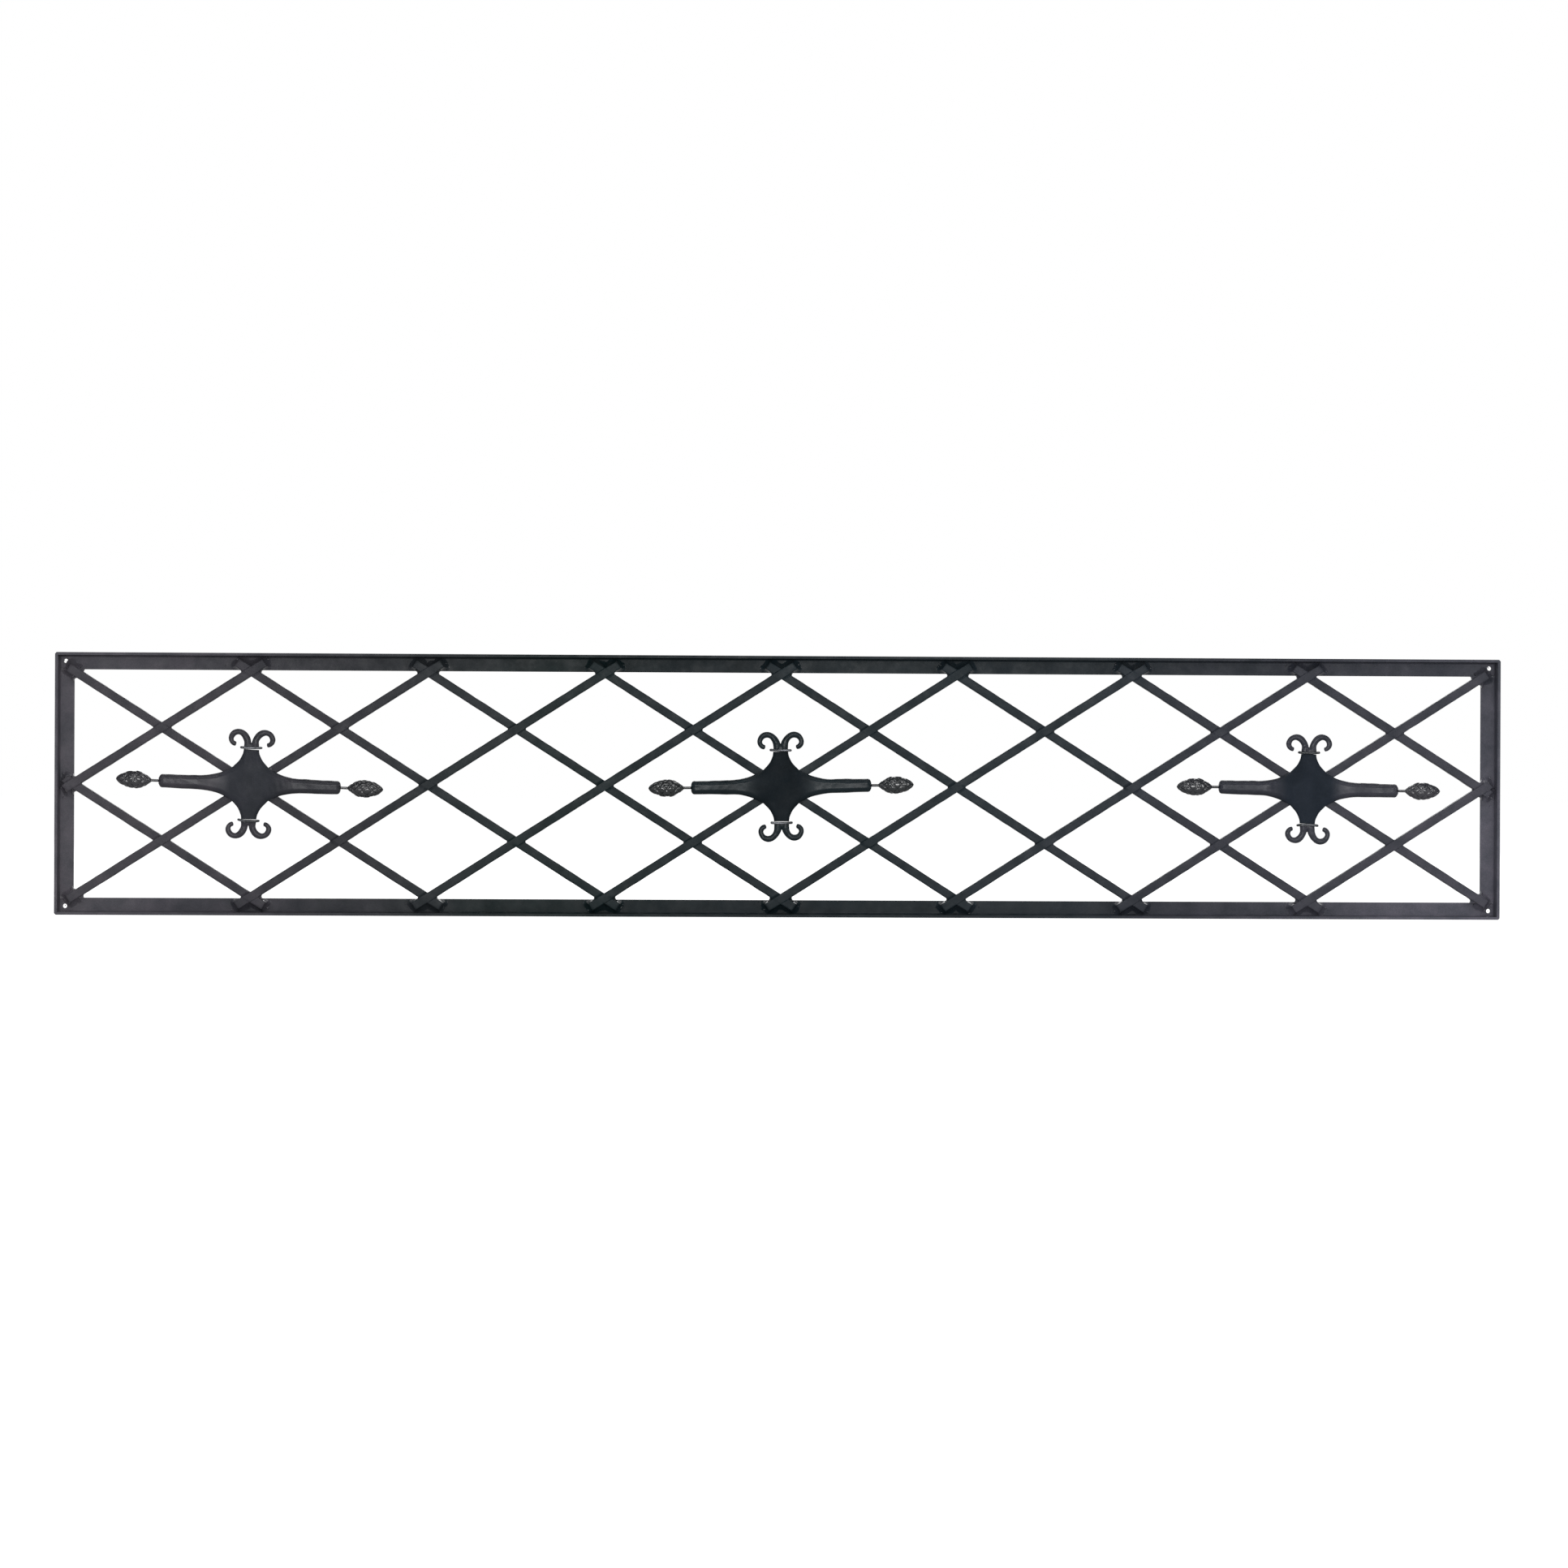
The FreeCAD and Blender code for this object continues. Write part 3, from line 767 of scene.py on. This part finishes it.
def horn_rings(mirror, draw):
    """One horn of a scroll pair, with its own small lean, size and taper."""
    line = spline(HORN_LINE, 90)
    foot = line[0].copy()
    size = 1 + draw.uniform(-0.035, 0.035)
    lean = math.radians(draw.uniform(-2.5, 2.5))
    turn = np.array([[math.cos(lean), math.sin(lean)], [-math.sin(lean), math.cos(lean)]])
    share = np.linspace(0, 1, len(line))
    moved = foot + ((line - foot) @ turn) * size
    line = line + (moved - line) * smoothstep(share, 0.1, 0.5)[:, None]
    radii = HORN_ROOT_RADIUS + (HORN_TIP_RADIUS - HORN_ROOT_RADIUS) * share**0.8
    closing = np.sqrt(np.clip(1 - (np.clip((share - 0.965) / 0.035, 0, 1)) ** 2, 0.02, 1))
    radii = radii * closing * (1 + 0.05 * np.sin(share * 17 + draw.uniform(0, 6)))
    depth = np.full(len(line), -SCROLL_AXIS_DEPTH)
    flat_line = np.column_stack([mirror * line[:, 0], depth, line[:, 1]])
    ahead = np.gradient(flat_line, axis=0)
    ahead /= np.linalg.norm(ahead, axis=1)[:, None]
    return rings_round(flat_line, radii, np.cross(ahead, AXIS_Y), AXIS_Y, 18, HORN_FLATTENING)


def fused(name, vertices, faces, voxel, smoothing):
    """One closed skin round overlapping shapes, in millimetres."""
    rough = bpy.data.objects.new(name, new_mesh(name, vertices, faces))
    bpy.context.scene.collection.objects.link(rough)
    remesh = rough.modifiers.new("remesh", "REMESH")
    remesh.mode = "VOXEL"
    remesh.voxel_size = voxel
    remesh.use_smooth_shade = True
    smooth = rough.modifiers.new("smooth", "SMOOTH")
    smooth.iterations = smoothing
    smooth.factor = 0.5
    graph = bpy.context.evaluated_depsgraph_get()
    mesh = bpy.data.meshes.new_from_object(rough.evaluated_get(graph))
    bpy.data.objects.remove(rough)
    return mesh


def root_rings():
    """The unsplit foot of a scroll pair: a rounded block across the neck."""
    levels = np.array([40.4, 41.2, 44.2, 45.8, 46.6])
    half_widths = np.array([7.8, 8.3, 8.2, 7.2, 4.6])
    half_depths = np.array([2.3, 2.6, 2.6, 2.5, 1.6])
    angles = np.linspace(0, 2 * math.pi, 28, endpoint=False)
    squareness = 0.45
    across = np.sign(np.cos(angles)) * np.abs(np.cos(angles)) ** squareness
    deep = np.sign(np.sin(angles)) * np.abs(np.sin(angles)) ** squareness
    rings = [
        np.column_stack([width * across, depth * deep - SCROLL_AXIS_DEPTH, np.full(len(angles), level)])
        for level, width, depth in zip(levels, half_widths, half_depths)
    ]
    return np.array(rings)


def forge_scrolls(side, upper, place, material):
    seed = SEEDS[side] + (20 if upper else 30)
    draw = np.random.default_rng(seed)
    parts = [skin(root_rings())] + [skin(horn_rings(mirror, draw)) for mirror in (1, -1)]
    mesh = fused("scrolls", *joined(parts), SCROLL_VOXEL, 5)
    points = vertex_array(mesh)
    outward = np.sign(points[:, 1] + SCROLL_AXIS_DEPTH) * 0.6
    points[:, 1] += outward * (0.16 * waves(points, 6.0, seed + 1))
    if not upper:
        points[:, 2] *= -1
        mesh.flip_normals()
    mesh.vertices.foreach_set("co", place.world(points).ravel())
    mesh.shade_smooth()
    word = "upper" if upper else "lower"
    name = "%s_forged_%s_scrolls" % (side, word)
    add_piece(name, mesh, material, "rosette_iron", "%s_%s_scrolls" % (side, word))


def wind_collar(side, upper, place, material):
    """A loop of wire pulled round the neck, pinched to a point at both sides."""
    seed = SEEDS[side] + (40 if upper else 50)
    draw = np.random.default_rng(seed)
    angles = np.linspace(0, 2 * math.pi, 96, endpoint=False)
    x = COLLAR_REACH * np.sign(np.cos(angles)) * np.abs(np.cos(angles)) ** 0.85
    y = COLLAR_HALF_DEPTH * np.sign(np.sin(angles)) * np.abs(np.sin(angles)) ** 0.55
    sag = draw.uniform(-0.5, 0.5)
    slope = draw.uniform(-0.03, 0.03)
    z = NECK_REACH + sag * np.cos(2 * angles) + slope * x
    line = np.column_stack([x, y - COLLAR_AXIS_DEPTH, z])
    ahead = np.roll(line, -1, axis=0) - np.roll(line, 1, axis=0)
    ahead /= np.linalg.norm(ahead, axis=1)[:, None]
    up = np.array([0.0, 0.0, 1.0])
    sideways = np.cross(ahead, up)
    sideways /= np.linalg.norm(sideways, axis=1)[:, None]
    radii = COLLAR_WIRE_RADIUS + 0.08 * waves(line, 9.0, seed + 1)
    rings = rings_round(line, radii, sideways, up, 14)
    if not upper:
        rings[:, :, 2] *= -1
    vertices, faces = skin(rings, closed=True)
    word = "upper" if upper else "lower"
    name = "%s_wound_%s_collar" % (side, word)
    mesh = new_mesh(name, place.world(vertices), faces)
    add_piece(name, mesh, material, "collar_wire", "%s_%s_collar" % (side, word))


def bud_profile(share):
    """Bud radius over its length: an even cone from the stem, and a blunter outer half."""
    inner = np.sin(np.clip(share / BUD_FATTEST, 0, 1) * math.pi / 2) ** 0.85
    outer = np.clip(1 - ((share - BUD_FATTEST) / (1 - BUD_FATTEST)) ** 2, 0, 1) ** 0.62
    return np.where(share < BUD_FATTEST, inner, outer) * BUD_RADIUS


def carve_bud(side, mirror, place, material):
    """A cast bud covered by two crossing spirals of scales, with its thin stem."""
    seed = SEEDS[side] + (60 if mirror > 0 else 70)
    draw = np.random.default_rng(seed)
    stem = np.linspace(-STEM_LENGTH, -0.4, 8)
    share = (1 - np.cos(np.linspace(0, math.pi, 92))) / 2
    along = np.concatenate([stem, share[1:] * BUD_LENGTH])
    radius = np.concatenate([np.full(len(stem), STEM_RADIUS), bud_profile(share[1:])])
    radius = np.maximum(radius, np.where(along < 3, STEM_RADIUS, 0.5))
    around = 96
    angles = np.linspace(0, 2 * math.pi, around, endpoint=False)
    inside = np.clip(along / BUD_LENGTH, 0, 1)
    turns = angles[None, :] / (2 * math.pi)
    rows = BUD_ROWS * inside[:, None] ** 0.92
    first = (BUD_SPIRALS[0] * turns + rows + draw.uniform()) % 1
    second = (BUD_SPIRALS[1] * turns - rows + draw.uniform()) % 1
    pillow = (1 - np.abs(2 * first - 1) ** 2.4) * (1 - np.abs(2 * second - 1) ** 2.4)
    lip = 0.86 + 0.14 * (first - second)
    relief = 1 - np.clip(1.25 * pillow, 0, 1) ** 0.6 * lip
    depth = BUD_RELIEF * smoothstep(radius / BUD_RADIUS, 0.1, 0.6)[:, None]
    rings_radius = radius[:, None] - depth * relief
    lean = np.radians(draw.uniform(-1.6, 1.6, 2))
    bent = np.clip(along + STEM_LENGTH, 0, None)
    centre_z = np.tan(lean[0]) * bent * 0.5
    centre_y = np.tan(lean[1]) * bent * 0.1
    x = mirror * (ARM_REACH + STEM_LENGTH + along)
    rings = np.stack(
        [
            np.repeat(x[:, None], around, axis=1),
            -BUD_AXIS_DEPTH + centre_y[:, None] + rings_radius * np.cos(angles)[None, :],
            centre_z[:, None] + BUD_BROADER * rings_radius * np.sin(angles)[None, :],
        ],
        axis=2,
    )
    points = rings.reshape(-1, 3)
    points[:, 1] = np.maximum(points[:, 1], -BUD_AXIS_DEPTH - BUD_RADIUS)
    vertices, faces = skin(points.reshape(rings.shape))
    word = "right" if mirror > 0 else "left"
    name = "%s_carved_%s_bud" % (side, word)
    mesh = new_mesh(name, place.world(vertices), faces)
    add_piece(name, mesh, material, "bud_iron", "%s_%s_bud" % (side, word))


def forge_rosettes(iron, bud_iron, wire):
    for side in SIDES:
        place = Place(side)
        forge_star(side, place, iron)
        for upper in (True, False):
            forge_scrolls(side, upper, place, iron)
            wind_collar(side, upper, place, wire)
        for mirror in (1, -1):
            carve_bud(side, mirror, place, bud_iron)


# Weld metal -----------------------------------------------


def lump(centre, radii, turn, seed):
    """A rough blob of weld metal, turned in the XZ plane. Centre and radii are in metres."""
    work = bmesh.new()
    bmesh.ops.create_icosphere(work, subdivisions=3, radius=1.0)
    ball = np.array([vertex.co[:] for vertex in work.verts])
    faces = [tuple(vertex.index for vertex in face.verts) for face in work.faces]
    work.free()
    ball *= (1 + 0.10 * waves(ball, 1.3, seed) + 0.06 * waves(ball, 0.6, seed + 1))[:, None]
    cosine, sine = math.cos(turn), math.sin(turn)
    stretched = ball * np.array(radii)
    turned = np.column_stack(
        [
            cosine * stretched[:, 0] - sine * stretched[:, 2],
            stretched[:, 1],
            sine * stretched[:, 0] + cosine * stretched[:, 2],
        ]
    )
    return turned + np.array(centre), faces


def bar_end_lumps(ends, flange_y):
    """Beads of weld metal and spatter round each bar's end."""
    draw = np.random.default_rng(DRAW_SEEDS["bar_end"])
    lumps = []
    for name in sorted(ends):
        along, _ = unit_and_length(ends[name])
        across = quarter_turn(along)
        turn = math.atan2(across[1], across[0])
        for end, outward in ((ends[name][0], -along), (ends[name][1], along)):
            for _ in range(draw.integers(2, 4)):
                spot = end + outward * draw.uniform(0.5, 5.0) * MM
                spot = spot + across * draw.uniform(-6.0, 6.0) * MM
                size = draw.uniform(1.1, 2.1, 3) * MM
                if within_frame_face(spot):
                    place = (spot[0], flange_y - 0.5 * MM, spot[1])
                    lumps.append(lump(place, size, turn, len(lumps) * 3))
            for _ in range(5):
                spot = end + outward * draw.uniform(1.0, 11.0) * MM
                spot = spot + across * draw.uniform(-12.0, 12.0) * MM
                size = np.full(3, draw.uniform(0.35, 0.8) * MM)
                if within_frame_face(spot):
                    lumps.append(lump((spot[0], flange_y, spot[1]), size, 0.0, len(lumps) * 3))
    return lumps


def frame_opening():
    """The inner edges of the frame: the axis of the XZ plane each one stops, and where."""
    return (
        (0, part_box("left_stile")[1].x), (0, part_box("right_stile")[0].x),
        (1, ANGLE_LEG), (1, cad_high.z - ANGLE_LEG),
    )


def to_opening(start, inward):
    """How far a line runs from a bar's end to clear the frame, and the axis of the edge it passes."""
    hits = []
    for axis, level in frame_opening():
        travel = (level - start[axis]) / inward[axis]
        if 0 < travel < LONGEST_PASS:
            hits.append((travel, axis))
    return max(hits) if hits else (0.0, 0)


def each_end(ends):
    """The two ends of each bar, with the way inward along it."""
    for name in sorted(ends):
        along, _ = unit_and_length(ends[name])
        yield ends[name][0], along
        yield ends[name][1], -along


def bar_sides(ends):
    """Each bar end's two sides: the corner, the way inward along the bar and the way out of the side."""
    for end, inward in each_end(ends):
        for side in (-1, 1):
            away = side * quarter_turn(inward)
            yield end + away * BAR_HALF, inward, away


def edge_inset(spot):
    """How far a point of the XZ plane is inside the panel's outer edge."""
    return min((spot - flat(cad_low)).min(), (flat(cad_high) - spot).min())


def off_the_frame(spot):
    """Whether a point of the XZ plane is in the frame's opening, or nearly at its outer edge."""
    limits = [level for _, level in frame_opening()]
    in_opening = limits[0] < spot[0] < limits[1] and limits[2] < spot[1] < limits[3]
    return in_opening or edge_inset(spot) < FILLET_INSET


def end_path(end, inward):
    """Places round a bar's end with their outward directions, up one side, across and down the other."""
    left = quarter_turn(inward)
    path = []
    for side in (1, -1):
        away = side * left
        corner = end + away * BAR_HALF
        travel, _ = to_opening(corner, inward)
        half_path = [(corner + inward * distance, away) for distance in np.linspace(travel, 1.0 * MM, 16)]
        for turn in np.linspace(0, math.pi / 2, 7):
            half_path.append((corner, math.cos(turn) * away - math.sin(turn) * inward))
        half_path += [(corner - away * BAR_HALF * share, -inward) for share in (0.35, 0.7)]
        path += half_path if side > 0 else half_path[::-1]
    return path


def end_fillet(end, inward, flange_y, seed):
    """A hollow-faced weld all round a bar's end, from near the bar's front face down to the flange."""
    path = end_path(end, inward)
    places = np.array([(place[0], 0.0, place[1]) for place, _ in path])
    swells = 0.9 * waves(places, 9 * MM, seed)
    ripples = 0.35 * waves(places, 3 * MM, seed + 1)
    widths = (FILLET_WIDTH + swells + ripples) * MM
    heights = (FILLET_HEIGHT + 0.4 * waves(places, 7 * MM, seed + 2)) * MM
    turn = np.linspace(0, math.pi / 2, 10)
    outward = 1 - np.cos(turn) ** FILLET_POWER
    forward = 1 - np.sin(turn) ** FILLET_POWER
    rings = []
    for (place, away), width, height in zip(path, widths, heights):
        while width > FILLET_LEAST_WIDTH and off_the_frame(place + away * width):
            width -= 0.2 * MM
        reach = np.concatenate([[-FILLET_BITE], [-FILLET_BITE], width * outward, [width]])
        y = flange_y - np.concatenate([[-WELD_ROOT], [height], height * forward, [-WELD_ROOT]])
        rings.append(np.column_stack([place[0] + away[0] * reach, y, place[1] + away[1] * reach]))
    return skin(np.array(rings))


def end_fillets(ends, flange_y):
    fillets = []
    for end, inward in each_end(ends):
        fillets.append(end_fillet(end, inward, flange_y, FILLET_SEED + 3 * len(fillets)))
    return fillets


def within_frame_face(spot):
    """Whether a point of the XZ plane is on a rail's or a stile's flange, clear of its outer edge."""
    return SPATTER_INSETS[0] < edge_inset(spot) < SPATTER_INSETS[1]


def edge_webs(ends):
    """Webs where the bars' edges run into the frame's inner edge at a narrow angle."""
    draw = np.random.default_rng(DRAW_SEEDS["edge_web"])
    back = cad_high.y - EDGE_WEB_INSET
    webs = []
    for start, inward, away in bar_sides(ends):
        travel, axis = to_opening(start, inward)
        rim = np.array([0.0, 0.0])
        rim[1 - axis] = math.copysign(1, away[1 - axis])
        if travel > 0 and rim @ inward > 0.2:
            radii = WIDE_WEB_RADII if rim @ inward < 0.7 else NARROW_WEB_RADII
            radius = draw.uniform(*radii) * MM
            y_range = (back - EDGE_WEB_DEPTH, back)
            webs.append(web(start + inward * travel, inward, rim, radius, *y_range))
    return webs


def seam_lumps():
    """Short beads over the seams between stiles and rails, on the CAD beads' places."""
    box_low, box_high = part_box("frame_corner_welds")
    draw = np.random.default_rng(DRAW_SEEDS["seam"])
    lumps = []
    seam_low = box_low.z + 1.8 * MM
    seam_high = box_high.z - 1.8 * MM
    for x_outer in (box_low.x, box_high.x):
        for z in (seam_low, seam_high):
            for step in range(4):
                x = x_outer - math.copysign((1.2 + 1.9 * step) * MM, x_outer)
                size = (1.5 * MM, draw.uniform(0.9, 1.3) * MM, draw.uniform(1.5, 2.1) * MM)
                place = (x, box_high.y + 0.1 * MM, z + draw.uniform(-0.3, 0.3) * MM)
                lumps.append(lump(place, size, draw.uniform(-0.4, 0.4), SEAM_SEED + len(lumps) * 3))
    return lumps


def tack_lumps():
    """Tacks between each star's hollow sides and the bars that pass under it."""
    draw = np.random.default_rng(DRAW_SEEDS["tack"])
    lumps = []
    rise = math.atan2(cad_high.z - cad_low.z - BAR_RISE_INSET, BAR_RUN)
    for side in SIDES:
        place = Place(side)
        for angle in (rise, math.pi - rise, math.pi + rise, -rise):
            reach = draw.uniform(26.5, 28.5)
            spot = place.middle + np.array([math.cos(angle), 0, math.sin(angle)]) * reach * MM
            size = (draw.uniform(3.0, 4.2) * MM, 2.4 * MM, draw.uniform(2.2, 3.0) * MM)
            lumps.append(lump(spot, size, angle + math.pi / 2, TACK_SEED + len(lumps) * 3))
    return lumps


def lay_welds(ends, material):
    flange_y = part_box("frame_corner_welds")[1].y
    end_welds = bar_end_lumps(ends, flange_y) + end_fillets(ends, flange_y) + edge_webs(ends)
    for name, lumps in (
        ("lattice_end_welds", end_welds),
        ("frame_corner_welds", seam_lumps()),
        ("rosette_welds", tack_lumps()),
    ):
        add_piece("lumpy_" + name, new_mesh(name, *joined(lumps)), material, "weld_metal", name)


# Studio ---------------------------------------------------


def softbox(name, location, target, size, power):
    data = bpy.data.lights.new(name, "AREA")
    data.shape = "RECTANGLE"
    data.size, data.size_y = size
    data.energy = power
    light = bpy.data.objects.new(name, data)
    bpy.context.scene.collection.objects.link(light)
    light.location = location
    light.rotation_mode = "QUATERNION"
    light.rotation_quaternion = (Vector(target) - Vector(location)).to_track_quat("-Z", "Y")


def background(tree, colour, strength):
    node = tree.nodes.new("ShaderNodeBackground")
    node.inputs["Color"].default_value = (*colour, 1.0)
    node.inputs["Strength"].default_value = strength
    return node.outputs["Background"]


def light_studio():
    for light in SOFTBOXES:
        softbox(*light)
    world = bpy.data.worlds.new("studio")
    bpy.context.scene.world = world
    world.use_nodes = True
    tree = world.node_tree
    tree.nodes.clear()
    output = tree.nodes.new("ShaderNodeOutputWorld")
    seen = background(tree, (1.0, 1.0, 1.0), 1.0)
    around = background(tree, (0.93, 0.97, 1.0), WORLD_GLOW)
    path = tree.nodes.new("ShaderNodeLightPath")
    mixer = tree.nodes.new("ShaderNodeMixShader")
    tree.links.new(path.outputs["Is Camera Ray"], mixer.inputs["Fac"])
    tree.links.new(around, mixer.inputs[1])
    tree.links.new(seen, mixer.inputs[2])
    tree.links.new(mixer.outputs["Shader"], output.inputs["Surface"])


def lay_floor():
    signs = ((-1, -1), (1, -1), (1, 1), (-1, 1))
    corners = np.array([(x * FLOOR_REACH, y * FLOOR_REACH, 0.0) for x, y in signs])
    floor = bpy.data.objects.new("floor", new_mesh("floor", corners, [(0, 1, 2, 3)]))
    bpy.context.scene.collection.objects.link(floor)
    white = bpy.data.materials.new("white_floor")
    white.use_nodes = True
    tree = white.node_tree
    shader = tree.nodes["Principled BSDF"]
    shader.inputs["Base Color"].default_value = (0.3, 0.3, 0.3, 1.0)
    shader.inputs["Roughness"].default_value = 0.9
    shader.inputs["Specular IOR Level"].default_value = 0.1
    shader.inputs["Emission Color"].default_value = (1.0, 1.0, 1.0, 1.0)
    path = tree.nodes.new("ShaderNodeLightPath")
    glow = tree.nodes.new("ShaderNodeMapRange")
    glow.inputs["To Min"].default_value = FLOOR_GLOW_FELT
    glow.inputs["To Max"].default_value = FLOOR_GLOW_SEEN
    tree.links.new(path.outputs["Is Camera Ray"], glow.inputs["Value"])
    tree.links.new(glow.outputs["Result"], shader.inputs["Emission Strength"])
    floor.data.materials.append(white)


def make_camera():
    data = bpy.data.cameras.new("camera")
    data.sensor_width = 36.0
    data.lens = CAMERA_LENS
    camera = bpy.data.objects.new("camera", data)
    bpy.context.scene.collection.objects.link(camera)
    azimuth = math.radians(CAMERA_AZIMUTH)
    away = Vector((math.sin(azimuth), -math.cos(azimuth), 0.0))
    aim = (cad_low + cad_high) / 2 + Vector((AIM_RIGHT, 0.0, AIM_UP))
    camera.location = aim + away * CAMERA_DISTANCE
    camera.rotation_mode = "QUATERNION"
    roll = Quaternion((0.0, 0.0, 1.0), math.radians(CAMERA_ROLL))
    camera.rotation_quaternion = (-away).to_track_quat("-Z", "Y") @ roll
    bpy.context.scene.camera = camera


def build():
    # The frame, bar, bud and weld copies of the one black paint get different shade and ends factors, set
    # to how the light falls on each: painted light and shade.
    frame_iron = iron_paint("frame_iron", 0.06, 0.10, shade=0.86, ends=1.75)
    bar_iron = iron_paint("lattice_iron", 0.07, 0.16)
    # The deep colour is the painted shade on the stars' middles.
    rosette_iron = iron_paint(
        "rosette_iron", 0.07, 0.08, worn_and_glint=0.2, roughness=0.28, shine=0.14, deep=(0.30, 0.42, 0.5)
    )
    bud_iron = iron_paint("bud_iron", 0.05, 0.05, worn_and_glint=0.12, roughness=0.2, shade=0.40, ends=1.5, shine=0.8)
    weld_iron = iron_paint(
        "weld_metal", 0.10, 0.10, worn_and_glint=0.6, roughness=0.26, shade=1.1, ends=1.4, shine=0.3
    )
    soften_frame(frame_iron)
    ends = forge_lattice(bar_iron)
    forge_rosettes(rosette_iron, bud_iron, wire_paint("collar_wire"))
    lay_welds(ends, weld_iron)
    lay_floor()
    light_studio()
    make_camera()
    bpy.context.scene.view_settings.view_transform = "Standard"


build()

bpy.context.view_layer.update()
